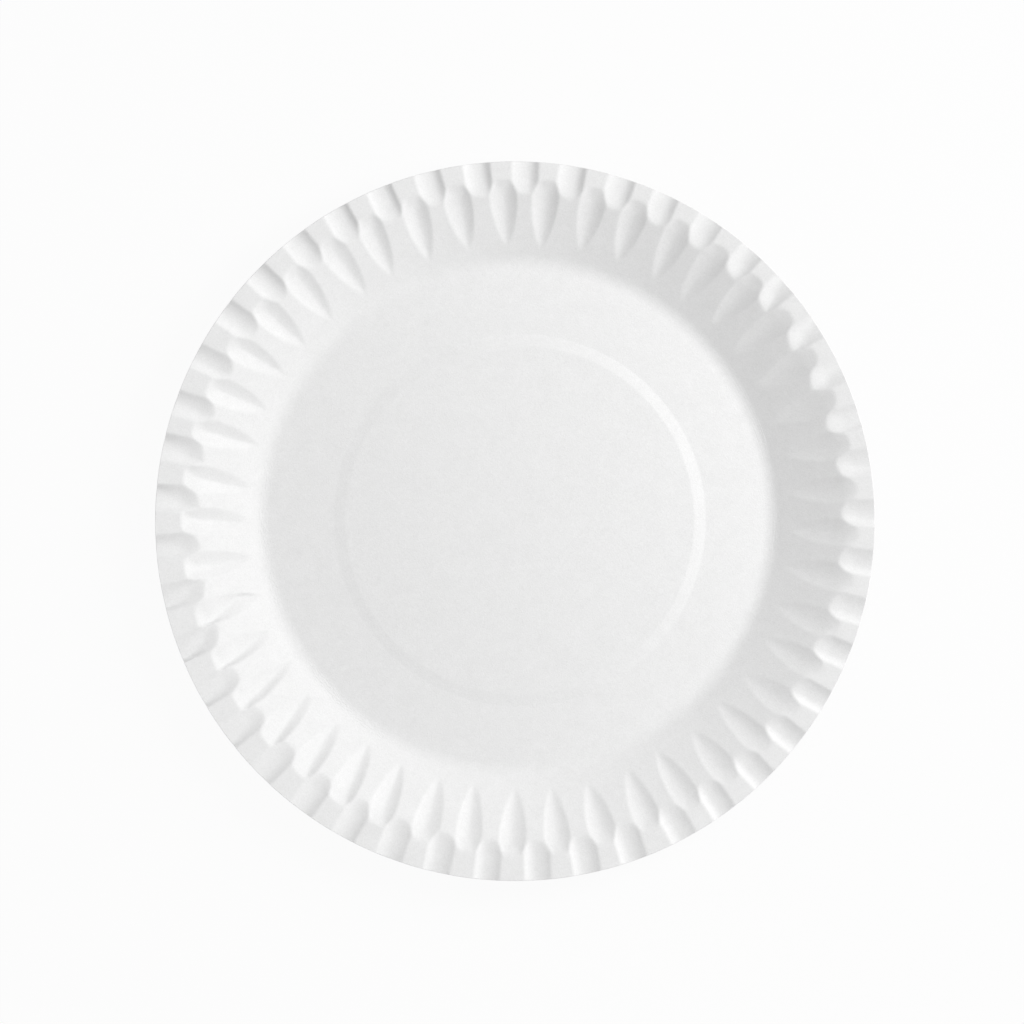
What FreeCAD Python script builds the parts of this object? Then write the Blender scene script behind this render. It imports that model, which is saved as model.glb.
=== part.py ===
"""A round tray for food, pressed hot in one stroke from one flat disc of white paperboard.

The board's spare length gathers in pleats as the flat disc is drawn up into a rim. Long pleats run in from
the edge across the flange. Between them, teardrop pleats run down the wall to a point near the floor.
Lengths are in millimetres. Z is up, and the origin is on the table, under the middle of the blank.
"""
import FreeCAD, Part
import math
import os

# The section's rings, from the middle outwards: how wide each is in plan, and how far it falls or climbs
middle_diameter = 111.6
step_width = 3.7
step_drop = 0.5
stand_width = 22.0
wall_width = 24.1
wall_height = 13.9
flange_width = 9.4
flange_rise = 2.0

# The board, its soft bend from the floor up to the wall, and how far the blank lay off the tool's middle
board_thickness = 0.45
floor_bend_radius = 10.0
tool_shift_x = 1.3
tool_shift_y = 1.2

# The pleats, evenly spaced round the rim, with a teardrop half-way between each two long ones
pleat_count = 45
first_pleat_angle = 0.95
long_pleat_radius = 9.4
long_pleat_depth = 1.0
teardrop_width = 9.0
teardrop_depth = 1.0
teardrop_tip_up_wall = 7.4

# Where the rings meet, by their distance from the tool's axis
middle_radius = middle_diameter / 2
stand_radius = middle_radius + step_width
floor_radius = stand_radius + stand_width
rim_radius = floor_radius + wall_width
blank_radius = rim_radius + flange_width

# The slopes of the rings in degrees, and the angle from one pleat to the next
step_slope = -math.degrees(math.atan2(step_drop, step_width))
wall_slope = math.degrees(math.atan2(wall_height, wall_width))
flange_slope = math.degrees(math.atan2(flange_rise, flange_width))
pitch = 360 / pleat_count

AXIS = FreeCAD.Vector(0, 0, 1)
ACROSS = FreeCAD.Vector(0, 1, 0)


def point(radius, height):
    """A point in the section, which is drawn in the XZ plane through the tool's axis."""
    return FreeCAD.Vector(radius, 0, height)


def along(slope):
    """The direction in the section that climbs outwards at a slope."""
    return point(math.cos(math.radians(slope)), math.sin(math.radians(slope)))


def square_to(slope):
    """The direction in the section that stands square on a slope."""
    return along(slope + 90)


def turned(shape, angle):
    """A copy of a shape, turned about the tool's axis."""
    return shape.rotated(FreeCAD.Vector(), AXIS, angle)


def corners_at(lift):
    """The corners between the section's rings, on the surface a lift above the board's underside."""
    slopes = [0, step_slope, 0, wall_slope, flange_slope]
    corners = [
        point(middle_radius, step_drop),
        point(stand_radius, 0),
        point(floor_radius, 0),
        point(rim_radius, wall_height),
    ]
    lifted = []
    for corner, before, after in zip(corners, slopes, slopes[1:]):
        spread = 1 / math.cos(math.radians((after - before) / 2))
        lifted.append(corner + square_to((before + after) / 2) * lift * spread)
    return lifted


def block_under(lift, depth, angle):
    """All between a depth and the board's surface at a lift, through an angle, before it is pleated."""
    middle_edge, stand_edge, floor_edge, rim = corners_at(lift)
    bend_radius = floor_bend_radius + board_thickness - lift
    reach = bend_radius * math.tan(math.radians(wall_slope / 2))
    bend_start = floor_edge - along(0) * reach
    bend_end = floor_edge + along(wall_slope) * reach
    bend_middle = bend_start + (square_to(0) - square_to(wall_slope / 2)) * bend_radius
    outer = rim + along(flange_slope) * flange_width * 2
    foot = point(0, -depth)
    runs = [
        Part.makePolygon([foot, point(0, middle_edge.z), middle_edge, stand_edge, bend_start]),
        Part.Arc(bend_start, bend_middle, bend_end).toShape(),
        Part.makePolygon([bend_end, rim, outer, point(outer.x, -depth), foot]),
    ]
    section = Part.Face(Part.Wire([edge for run in runs for edge in run.Edges]))
    return turned(section, -angle / 2).revolve(FreeCAD.Vector(), AXIS, angle)


def long_pleat_bar(lift):
    """The round bar that presses a long pleat: it lies along the flange, and so runs out on the wall."""
    rim = corners_at(board_thickness)[-1]
    over_rim = rim + square_to(flange_slope) * (long_pleat_radius - long_pleat_depth)
    start = over_rim - along(flange_slope) * wall_width / 2
    length = wall_width / 2 + flange_width * 3
    return Part.makeCylinder(long_pleat_radius + board_thickness - lift, length, start, along(flange_slope))


def teardrop_wedge(lift):
    """The three-sided wedge that presses a teardrop: it widens and sinks from its tip up past the rim."""
    foot, rim = corners_at(board_thickness)[-2:]
    tip = foot + along(wall_slope) * teardrop_tip_up_wall
    low = rim - square_to(wall_slope) * teardrop_depth
    high = rim + square_to(wall_slope) * teardrop_depth
    at_rim = [low, high + ACROSS * teardrop_width, high - ACROSS * teardrop_width]
    past_rim = [tip + (place - tip) * 2 for place in at_rim]
    wedge = Part.makeLoft([Part.Vertex(tip), Part.makePolygon(past_rim + past_rim[:1])], True, True)
    wedge.translate(square_to(wall_slope) * (lift - board_thickness))
    return wedge


def pleated_block(lift, depth):
    """One pitch of all that lies under the pleated board's surface, with a teardrop in its middle."""
    bar = long_pleat_bar(lift)
    tools = [teardrop_wedge(lift), turned(bar, -pitch / 2), turned(bar, pitch / 2)]
    return block_under(lift, depth, pitch).cut(tools)


def is_cut_side(face):
    """Whether a face is one of the two cuts through the board at the ends of a pitch."""
    return face.Surface.isPlanar() and abs(face.normalAt(0, 0).z) < 1e-6


def pleated_ring(middle):
    """The board outside the middle: the skin of one pitch, copied round the axis and sewn up."""
    board = pleated_block(board_thickness, wall_height).cut(pleated_block(0, wall_height * 2)).cut(middle)
    skin = [face for face in board.Faces if not is_cut_side(face)]
    angles = [first_pleat_angle + pitch * (number + 0.5) for number in range(pleat_count)]
    shell = Part.Shell([turned(face, angle) for angle in angles for face in skin])
    shell.sewShape()
    return Part.Solid(shell)


def tray():
    """The tray: the pressed board, cut to its blank's round outline."""
    middle = Part.makeCylinder(stand_radius + stand_width / 2, wall_height, point(0, -wall_height / 2))
    plain_board = block_under(board_thickness, wall_height, 360).cut(block_under(0, wall_height * 2, 360))
    board = pleated_ring(middle).fuse(plain_board.common(middle)).removeSplitter()
    board.translate(FreeCAD.Vector(tool_shift_x, tool_shift_y, 0))
    outline = Part.makeCylinder(blank_radius, wall_height * 4, point(0, -wall_height))
    return board.common(outline)


os.makedirs("parts", exist_ok=True)
tray().exportStep("parts/tray.step")
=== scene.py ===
import math
import random

import bmesh
import bpy
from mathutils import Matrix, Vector


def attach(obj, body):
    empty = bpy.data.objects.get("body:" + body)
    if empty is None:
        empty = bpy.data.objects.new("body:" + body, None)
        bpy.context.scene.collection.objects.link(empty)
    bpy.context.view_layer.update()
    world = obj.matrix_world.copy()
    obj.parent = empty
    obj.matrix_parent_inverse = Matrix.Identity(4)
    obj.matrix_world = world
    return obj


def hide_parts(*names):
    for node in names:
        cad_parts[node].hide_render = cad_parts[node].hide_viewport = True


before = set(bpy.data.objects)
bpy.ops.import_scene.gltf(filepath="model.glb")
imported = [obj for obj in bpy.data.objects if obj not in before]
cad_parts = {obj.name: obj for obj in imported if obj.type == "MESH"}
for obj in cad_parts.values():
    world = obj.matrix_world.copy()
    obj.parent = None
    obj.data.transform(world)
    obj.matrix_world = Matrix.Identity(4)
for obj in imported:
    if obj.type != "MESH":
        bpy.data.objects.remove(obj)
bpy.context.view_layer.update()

# ---- The tray's board ----
# The tray is one disc of uncoated white paperboard, pressed hot in one stroke between two tools. It is spun as
# a floor, drawn out ring by ring to the edge, and then each point is set at the height that the tools press it
# to. Lengths here are in millimetres from the tools' axis, which is off the middle of the blank.
MM = 0.001
BOARD = 0.45
AXIS_X, AXIS_Y = 1.3, 1.2
BLANK_RADIUS = 115.0
RAISED_X, RAISED_Y, RAISED_RADIUS, RAISED_STEP = 0.2, -0.9, 56.0, 3.7
RAISED_BY, RAISED_TILT, RAISED_TILT_WAY = 0.42, 0.16, math.radians(20)
STAND_WIDTH = 22.0
WALL_WIDTH, WALL_HEIGHT = 24.1, 13.9
FLANGE_WIDTH, FLANGE_RISE = 9.4, 2.0
BEND_RADIUS = 9.5
FOOT_OUT, FOOT_OFF, FOOT_OFF_WAY = 0.3, 0.8, math.radians(160)
RIM_BLEND, LIP_BLEND = 0.3, 0.1

wall_angle = math.atan2(WALL_HEIGHT, WALL_WIDTH)
flange_angle = math.atan2(FLANGE_RISE, FLANGE_WIDTH)
flange_slope = math.tan(flange_angle)
under_foot = RAISED_RADIUS + RAISED_STEP + STAND_WIDTH
wall_foot = under_foot - BOARD * math.tan(wall_angle / 2)
mitre = BOARD / math.cos((wall_angle - flange_angle) / 2)
rim = under_foot + WALL_WIDTH - mitre * math.sin((wall_angle + flange_angle) / 2)
rim_height = WALL_HEIGHT + mitre * math.cos((wall_angle + flange_angle) / 2)

PLEATS = 45
PITCH = math.radians(360 / PLEATS)
FIRST_PLEAT = math.radians(0.95)
PLEATED_FROM = 86.0
LONG_START, LONG_DEEPENS, LONG_DEEPEST, LONG_START_SHARE = 99.0, 103.0, 109.0, 0.73
LONG_REACH = 8.0
DROP_MIDDLE, DROP_WIDEST, DROP_END, DROP_LIMIT = 99.0, 103.5, 108.2, 110.0
DROP_SINKS, DROP_WIDENS, END_DEPTH, END_STEEPER = 0.85, 0.62, 1.0, 1.3
VALLEY_LIMIT = 0.75
press_luck = random.Random(45)


def swells(angle, *parts):
    """What differs from side to side round the tray: each part is an amount, its direction and its spread in
    degrees, and falls off to 0 away from that direction."""
    total = 0
    for amount, direction, spread in parts:
        away = abs((math.degrees(angle) - direction + 180) % 360 - 180)
        total += amount * math.exp(-(away / spread) ** 2)
    return total


# The board gathers a little differently at each pleat. The valley is how far a trough's deepest line lies to
# one side, and the drift is how much it moves to that side on the way out.
long_pleats = []
teardrops = []
for number in range(PLEATS):
    way = FIRST_PLEAT + PITCH * number
    long_pleats.append({
        "angle": way + math.radians(swells(way, (0.15, 80, 60)) + press_luck.uniform(-0.3, 0.3)),
        "half_width": press_luck.uniform(4.0, 4.4),
        "depth": 1.25 + swells(way, (0.5, 180, 40), (0.3, 30, 22), (-0.15, 285, 35))
                 + press_luck.uniform(-0.08, 0.08),
        "valley": -1.1 + swells(way, (2.2, 215, 24), (2.0, 165, 28), (-0.9, 198, 9), (0.9, 40, 28))
                  + press_luck.uniform(-0.3, 0.3),
        "drift": swells(way, (0.8, 198, 9), (0.15, 218, 10), (-0.35, 176, 13), (0.45, 36, 15), (-0.25, 8, 10)),
        "lean": press_luck.uniform(-0.04, 0.04),
        "power": press_luck.uniform(1.9, 2.3),
    })
    way += PITCH / 2
    teardrops.append({
        "angle": way + math.radians(press_luck.uniform(-0.3, 0.3)),
        "half_width": press_luck.uniform(4.1, 4.4),
        "depth": 1.0 + swells(way, (1.0, 203, 48), (0.2, 100, 40), (-0.5, 345, 42))
                 + press_luck.uniform(-0.08, 0.08),
        "valley": swells(way, (2.2, 206, 14), (0.9, 232, 16), (-0.4, 100, 30)) + press_luck.uniform(-0.3, 0.3),
        "drift": swells(way, (0.5, 198, 6), (0.15, 224, 12), (-0.15, 180, 11)),
        "lean": press_luck.uniform(-0.05, 0.05),
        "power": 1.75 + swells(way, (-0.5, 180, 60)) + press_luck.uniform(-0.1, 0.1),
        "tip": press_luck.uniform(87.0, 88.6),
    })


def softer_min(first, second, blend):
    """The lower of two heights, with the corner between them rounded."""
    near = max(blend - abs(first - second), 0) / blend
    return min(first, second) - near * near * blend / 4


def within(value, limit):
    """The value, or the limit if it is farther from 0 than that."""
    return min(max(value, -limit), limit)


def ease(amount):
    """0 to 1, slow at both ends."""
    amount = min(max(amount, 0), 1)
    return amount * amount * (3 - 2 * amount)


def foot_at(angle):
    """Where the wall would start if it met the floor in a corner: the board slipped a little in the press."""
    return wall_foot + FOOT_OUT + FOOT_OFF * math.cos(angle - FOOT_OFF_WAY)


def wall_height(radius, foot):
    """The plain wall's height, also where it would go on past the rim."""
    return BOARD + (radius - foot) * (rim_height - BOARD) / (rim - foot)


def flange_height(radius):
    """The plain flange's height, also where it would go on inside the rim."""
    return rim_height + (radius - rim) * flange_slope


def plain_height(x, y, radius, foot):
    """The pressed board's height before it has pleats."""
    rise = math.atan2(rim_height - BOARD, rim - foot)
    bend_start = foot - BEND_RADIUS * math.tan(rise / 2)
    if radius < bend_start:
        across, along = x - RAISED_X, y - RAISED_Y
        uphill = (across * math.cos(RAISED_TILT_WAY) + along * math.sin(RAISED_TILT_WAY)) / RAISED_RADIUS
        stepped_down = min(max((math.hypot(across, along) - RAISED_RADIUS) / RAISED_STEP, 0), 1)
        return BOARD + (RAISED_BY + RAISED_TILT * uphill) * (1 - stepped_down)
    if radius < bend_start + BEND_RADIUS * math.sin(rise):
        return BOARD + BEND_RADIUS - math.sqrt(BEND_RADIUS ** 2 - (radius - bend_start) ** 2)
    return softer_min(wall_height(radius, foot), flange_height(radius), RIM_BLEND)


def trough(across, valley, half_width, power):
    """How far up a trough's side a point is: 0 along its valley and 1 at its lips."""
    side = half_width - valley if across > valley else half_width + valley
    return (abs(across - valley) / side) ** power


def long_pleat_height(pleat, across, along):
    """A long pleat's surface: a round-bottomed trough along the flange, deeper towards the edge."""
    across -= pleat["lean"] * (along - rim)
    deepened = ease((along - LONG_DEEPENS) / (LONG_DEEPEST - LONG_DEEPENS))
    depth = pleat["depth"] * (LONG_START_SHARE + (1 - LONG_START_SHARE) * deepened)
    half_width = pleat["half_width"]
    valley = within(pleat["valley"] + pleat["drift"] * (along - LONG_DEEPEST), VALLEY_LIMIT * half_width)
    return flange_height(along) - depth * (1 - trough(across, valley, half_width, pleat["power"]))


def teardrop_height(pleat, across, along, foot):
    """A teardrop's surface: a trough that starts as a point low on the wall, widens, sinks and ends on the
    flange."""
    across -= pleat["lean"] * (along - rim)
    grown = math.sin(min((along - pleat["tip"]) / (DROP_WIDEST - pleat["tip"]), 1) * math.pi / 2)
    past = max(along - DROP_WIDEST, 0) / (DROP_END - DROP_WIDEST)
    depth = pleat["depth"] * grown ** DROP_SINKS + (END_DEPTH - pleat["depth"]) * past * past
    power = pleat["power"] + END_STEEPER * ease(past)
    half_width = pleat["half_width"] * grown ** DROP_WIDENS
    valley = pleat["valley"] * grown + pleat["drift"] * (along - DROP_MIDDLE)
    side = trough(across, within(valley, VALLEY_LIMIT * half_width), half_width, power)
    return wall_height(along, foot) - depth * (1 - side)


def pressed_height(x, y):
    """The height that the tools press the board's upper face to."""
    radius = math.hypot(x, y)
    angle = math.atan2(y, x)
    foot = foot_at(angle)
    height = plain_height(x, y, radius, foot)
    if radius < PLEATED_FROM:
        return height
    number = int((angle - FIRST_PLEAT) // PITCH)
    for pleat in (long_pleats[number % PLEATS], long_pleats[(number + 1) % PLEATS]):
        turn = angle - pleat["angle"]
        across, along = radius * math.sin(turn), radius * math.cos(turn)
        if along > LONG_START and abs(across) < LONG_REACH:
            height = softer_min(height, long_pleat_height(pleat, across, along), LIP_BLEND)
    pleat = teardrops[number % PLEATS]
    turn = angle - pleat["angle"]
    across, along = radius * math.sin(turn), radius * math.cos(turn)
    if pleat["tip"] + 0.1 < along < DROP_LIMIT:
        height = softer_min(height, teardrop_height(pleat, across, along, foot), LIP_BLEND)
    return height


SPOKES_PER_PLEAT = 5
EASED_FROM, EASED_TO = 62, 77
floor_rings = [0, 18, 36, 53, 55.4, 55.9, 56.1, 56.6, 57.8, 59.1, 59.6, 59.8, 60.3, 62, 68, 74, 77.2]
bend_rings = [78.2, 79.0, 79.8, 80.6, 81.4, 82.2, 83.0, 83.8, 84.8, 86.0]
pleat_rings = [87.3, 88.3, 89.3, 90.4, 91.6, 92.9, 94.2, 95.5, 96.8, 98.1, 99.3, 100.4, 101.3, 102.1, 102.8,
               103.4, 104.0, 104.6, 105.2, 105.8, 106.4, 107.0, 107.6, 108.2, 108.8]
edge_shares = [0.12, 0.35, 0.62, 0.85, 1.0]

board = bmesh.new()
spoke = [board.verts.new((ring, 0, 0)) for ring in floor_rings]
runs = [board.edges.new(pair) for pair in zip(spoke, spoke[1:])]
bmesh.ops.spin(board, geom=spoke + runs, cent=(0, 0, 0), axis=(0, 0, 1), angle=math.tau,
               steps=PLEATS * SPOKES_PER_PLEAT, use_merge=True)
bmesh.ops.remove_doubles(board, verts=board.verts, dist=0.0001)
for vert in board.verts:
    eased = ease((vert.co.length - EASED_FROM) / (EASED_TO - EASED_FROM))
    vert.co += Vector((RAISED_X, RAISED_Y, 0)) * (1 - eased)


def draw_out(place_for):
    """Draws the board's border out to a new ring, with each new point where place_for says."""
    edges = [edge for edge in board.edges if edge.is_boundary]
    drawn = bmesh.ops.extrude_edge_only(board, edges=edges)["geom"]
    for vert in [item for item in drawn if isinstance(item, bmesh.types.BMVert)]:
        vert.co = place_for(vert.co)


def on_edge(way):
    """The distance from the tools' axis to the blank's edge in a direction."""
    off = way.x * AXIS_X + way.y * AXIS_Y
    return math.sqrt(off * off + BLANK_RADIUS ** 2 - AXIS_X ** 2 - AXIS_Y ** 2) - off


for rings, cuts in ((bend_rings, 1), (pleat_rings, 2)):
    border = [edge for edge in board.edges if edge.is_boundary]
    bmesh.ops.subdivide_edges(board, edges=border, cuts=cuts)
    for ring in rings:
        draw_out(lambda place: place.normalized() * ring)
for share in edge_shares:
    draw_out(lambda place: place.normalized() * (ring + (on_edge(place.normalized()) - ring) * share))

bmesh.ops.recalc_face_normals(board, faces=board.faces)
for vert in board.verts:
    vert.co.z = pressed_height(vert.co.x, vert.co.y)
if sum(face.normal.z for face in board.faces) < 0:
    bmesh.ops.reverse_faces(board, faces=board.faces)
bmesh.ops.translate(board, verts=board.verts, vec=(AXIS_X, AXIS_Y, 0))
bmesh.ops.scale(board, verts=board.verts, vec=(MM, MM, MM))
board.normal_update()
bmesh.ops.solidify(board, geom=board.faces, thickness=BOARD * MM)
bmesh.ops.triangulate(board, faces=[face for face in board.faces if len(face.verts) > 4])
for face in board.faces:
    face.smooth = True

board_mesh = bpy.data.meshes.new("pressed_board")
board.to_mesh(board_mesh)
board.free()
board_mesh.set_sharp_from_angle(angle=math.radians(50))
pressed_board = bpy.data.objects.new("pressed_board", board_mesh)
bpy.context.collection.objects.link(pressed_board)


# Uncoated board is a mat of white fibres: it has a fine grain, soft clouds where the fibres lie closer
# together, and now and then a dark speck. Where the floor bends up into the wall, the outer fibres crowd into
# fine wrinkles on two sides of the tray. Lengths in the materials are in metres.
SPECKS = ((0.1032, -0.0198, 0.28), (0.0402, -0.0815, 0.22))
SPECK_CORE, SPECK_EDGE = 0.00012, 0.0003
GRAIN_HEIGHT, WRINKLE_HEIGHT = 0.00003, 0.00018
BEND_MIDDLE, BEND_UNROLLED_AT = 0.0821, 0.082
WRINKLES_FULL, WRINKLES_END = 0.0005, 0.0026
WRINKLED_SIDES = ((205, 0.055, 0.075, 1.0), (10, 0.06, 0.08, 0.6))
DARKEST, LIGHTEST = 0.3, 0.7


def node(tree, kind, **settings):
    """Adds a shader node and sets its options and unlinked sockets."""
    made = tree.nodes.new("ShaderNode" + kind)
    for name, value in settings.items():
        if hasattr(made, name):
            setattr(made, name, value)
        else:
            made.inputs[name.replace("_", " ")].default_value = value
    return made


def reckon(tree, operation, first, second=0.0):
    """A Math node on one or two values, each a socket or a number."""
    made = node(tree, "Math", operation=operation)
    for socket, value in zip(made.inputs, (first, second)):
        if isinstance(value, (int, float)):
            socket.default_value = value
        else:
            tree.links.new(value, socket)
    return made.outputs[0]


def fade(tree, value, start, end, first=0.0, last=1.0, kind="SMOOTHSTEP"):
    """Goes from first to last while a value goes from start to end."""
    made = node(tree, "MapRange", interpolation_type=kind, From_Min=start, From_Max=end, To_Min=first,
                To_Max=last)
    tree.links.new(value, made.inputs["Value"])
    return made.outputs[0]


def how_far(tree, place, x, y):
    """How far a point is from an upright line through x, y: along X, along Y and straight."""
    parts = node(tree, "SeparateXYZ")
    tree.links.new(place, parts.inputs[0])
    across = reckon(tree, "SUBTRACT", parts.outputs["X"], x)
    along = reckon(tree, "SUBTRACT", parts.outputs["Y"], y)
    squares = [reckon(tree, "MULTIPLY", side, side) for side in (across, along)]
    return across, along, reckon(tree, "SQRT", reckon(tree, "ADD", *squares))


def new_group(name, inputs, outputs):
    """An empty shader node group with named sockets."""
    group = bpy.data.node_groups.new(name, "ShaderNodeTree")
    for socket, kind in inputs.items():
        group.interface.new_socket(socket, in_out="INPUT", socket_type=kind)
    for socket, kind in outputs.items():
        group.interface.new_socket(socket, in_out="OUTPUT", socket_type=kind)
    return group, group.nodes.new("NodeGroupInput"), group.nodes.new("NodeGroupOutput")


def pulp_group():
    """Paper's own surface: its shade, from 0 to 1, and the height of its grain."""
    group, given, out = new_group("paper_pulp", {"Place": "NodeSocketVector"},
                                  {"Shade": "NodeSocketFloat", "Height": "NodeSocketFloat"})
    layers = []
    for scale, warp in ((2400, 0.0), (900, 1.2), (170, 0.6)):
        fibres = node(group, "TexNoise", Scale=scale, Detail=2, Roughness=0.6, Distortion=warp)
        group.links.new(given.outputs["Place"], fibres.inputs["Vector"])
        layers.append(fibres.outputs["Fac"])
    grain, flocks, clouds = layers
    shade = reckon(group, "MULTIPLY", grain, 0.45)
    shade = reckon(group, "ADD", shade, reckon(group, "MULTIPLY", flocks, 0.35))
    shade = reckon(group, "ADD", shade, reckon(group, "MULTIPLY", clouds, 0.2))
    for x, y, darker in SPECKS:
        from_speck = how_far(group, given.outputs["Place"], x, y)[2]
        speck = fade(group, from_speck, SPECK_CORE, SPECK_EDGE, darker, 0.0)
        shade = reckon(group, "SUBTRACT", shade, speck)
    group.links.new(shade, out.inputs["Shade"])
    height = reckon(group, "ADD", grain, reckon(group, "MULTIPLY", flocks, 1.2))
    group.links.new(height, out.inputs["Height"])
    return group


def bend_wrinkles_group():
    """Fine wrinkles at the floor bend, short on the left and long on the right: their height, and 0 elsewhere."""
    group, given, out = new_group("bend_wrinkles", {"Place": "NodeSocketVector"}, {"Height": "NodeSocketFloat"})
    x, y, radius = how_far(group, given.outputs["Place"], AXIS_X * MM, AXIS_Y * MM)
    way = reckon(group, "ARCTAN2", x, reckon(group, "MULTIPLY", y, -1))
    round_bend = reckon(group, "MULTIPLY", way, BEND_UNROLLED_AT)
    unrolled = node(group, "CombineXYZ")
    drawn_long = fade(group, x, 0.0, 0.04, 0.4, 0.07)
    group.links.new(reckon(group, "MULTIPLY", round_bend, drawn_long), unrolled.inputs["X"])
    group.links.new(radius, unrolled.inputs["Y"])
    creases = node(group, "TexNoise", Scale=1500, Detail=1.5, Roughness=0.5, Distortion=0.9)
    group.links.new(unrolled.outputs[0], creases.inputs["Vector"])
    patches = node(group, "TexNoise", Scale=45, Detail=1)
    group.links.new(given.outputs["Place"], patches.inputs["Vector"])
    patchy = fade(group, patches.outputs["Fac"], 0.38, 0.62)
    from_bend = reckon(group, "ABSOLUTE", reckon(group, "SUBTRACT", radius, BEND_MIDDLE))
    band = fade(group, from_bend, WRINKLES_FULL, WRINKLES_END, 1.0, 0.0)
    sides = []
    for degrees, start, end, most in WRINKLED_SIDES:
        ahead = reckon(group, "ADD", reckon(group, "MULTIPLY", x, math.cos(math.radians(degrees))),
                       reckon(group, "MULTIPLY", y, math.sin(math.radians(degrees))))
        sides.append(fade(group, ahead, start, end, 0.0, most))
    height = reckon(group, "SUBTRACT", creases.outputs["Fac"], 0.5)
    for mask in (band, patchy, reckon(group, "ADD", *sides)):
        height = reckon(group, "MULTIPLY", height, mask)
    group.links.new(height, out.inputs["Height"])
    return group


white_board = bpy.data.materials.new("white_board")
white_board.use_nodes = True
tree = white_board.node_tree
shader = tree.nodes["Principled BSDF"]
shader.inputs["Specular IOR Level"].default_value = 0.4
place = node(tree, "TexCoord")
pulp = node(tree, "Group", node_tree=pulp_group())
wrinkles = node(tree, "Group", node_tree=bend_wrinkles_group())
for part in (pulp, wrinkles):
    tree.links.new(place.outputs["Object"], part.inputs["Place"])
shades = node(tree, "ValToRGB")
dark_end, light_end = shades.color_ramp.elements
dark_end.position, dark_end.color = DARKEST, (0.825, 0.825, 0.823, 1)
light_end.position, light_end.color = LIGHTEST, (0.935, 0.935, 0.935, 1)
tree.links.new(pulp.outputs["Shade"], shades.inputs["Fac"])
tree.links.new(shades.outputs["Color"], shader.inputs["Base Color"])
sheen = fade(tree, pulp.outputs["Shade"], DARKEST, LIGHTEST, 0.72, 0.6, "LINEAR")
tree.links.new(sheen, shader.inputs["Roughness"])
grain_bump = node(tree, "Bump", Strength=1.0, Distance=GRAIN_HEIGHT)
wrinkle_bump = node(tree, "Bump", Strength=1.0, Distance=WRINKLE_HEIGHT)
tree.links.new(pulp.outputs["Height"], grain_bump.inputs["Height"])
tree.links.new(wrinkles.outputs["Height"], wrinkle_bump.inputs["Height"])
tree.links.new(grain_bump.outputs["Normal"], wrinkle_bump.inputs["Normal"])
tree.links.new(wrinkle_bump.outputs["Normal"], shader.inputs["Normal"])
board_mesh.materials.append(white_board)

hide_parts("tray")
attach(pressed_board, "root")

# ---- The table, the lights and the camera ----
# A plain white top, one soft lamp high on the right with a fainter one below it, even light from all round,
# and a camera straight above.
bpy.ops.mesh.primitive_plane_add(size=6, location=(0, 0, -0.0002))
table_top = bpy.context.object
table_top.name = "table_top"
table_paint = bpy.data.materials.new("table_paint")
table_paint.use_nodes = True
tree = table_paint.node_tree
paint = tree.nodes["Principled BSDF"]
paint.inputs["Base Color"].default_value = (0.8, 0.8, 0.8, 1)
paint.inputs["Roughness"].default_value = 0.9
rays = node(tree, "LightPath")
seen = reckon(tree, "ADD", rays.outputs["Is Camera Ray"], rays.outputs["Is Glossy Ray"])
seen_or_mirrored = reckon(tree, "ADD", seen, rays.outputs["Is Transmission Ray"])
seen_or_mirrored.node.use_clamp = True
share_of_glow = reckon(tree, "MULTIPLY", seen_or_mirrored, 0.96)
glow = node(tree, "Emission", Color=(0.99, 0.99, 0.99, 1))
mix = node(tree, "MixShader")
tree.links.new(share_of_glow, mix.inputs["Fac"])
tree.links.new(paint.outputs["BSDF"], mix.inputs[1])
tree.links.new(glow.outputs["Emission"], mix.inputs[2])
tree.links.new(mix.outputs["Shader"], tree.nodes["Material Output"].inputs["Surface"])
table_top.data.materials.append(table_paint)

world = bpy.data.worlds.new("even_light")
bpy.context.scene.world = world
world.use_nodes = True
world.node_tree.nodes["Background"].inputs["Color"].default_value = (1, 1, 1, 1)
world.node_tree.nodes["Background"].inputs["Strength"].default_value = 0.45

LAMP_WIDTH, LAMP_AWAY, LAMP_WAY = 0.352, 0.88, math.radians(21)


def add_lamp(name, from_overhead, power):
    """Adds a round soft lamp on the right, near the tray and some degrees down from overhead."""
    lamp = bpy.data.lights.new(name, "AREA")
    lamp.shape = "DISK"
    lamp.size = LAMP_WIDTH
    lamp.energy = power
    stand = bpy.data.objects.new(name, lamp)
    bpy.context.collection.objects.link(stand)
    down = math.radians(from_overhead)
    out = LAMP_AWAY * math.sin(down)
    stand.location = (out * math.cos(LAMP_WAY), out * math.sin(LAMP_WAY), LAMP_AWAY * math.cos(down))
    stand.rotation_euler = (-stand.location).to_track_quat("-Z", "Y").to_euler()


add_lamp("soft_lamp", 37, 2.89)
add_lamp("low_lamp", 55, 2.56)

camera_data = bpy.data.cameras.new("camera")
camera_data.lens = 657.65
camera_data.sensor_width = 36
camera = bpy.data.objects.new("camera", camera_data)
bpy.context.collection.objects.link(camera)
camera.location = (-0.00096, 0.00292, 6.0)
bpy.context.scene.camera = camera
bpy.context.scene.view_settings.view_transform = "Standard"
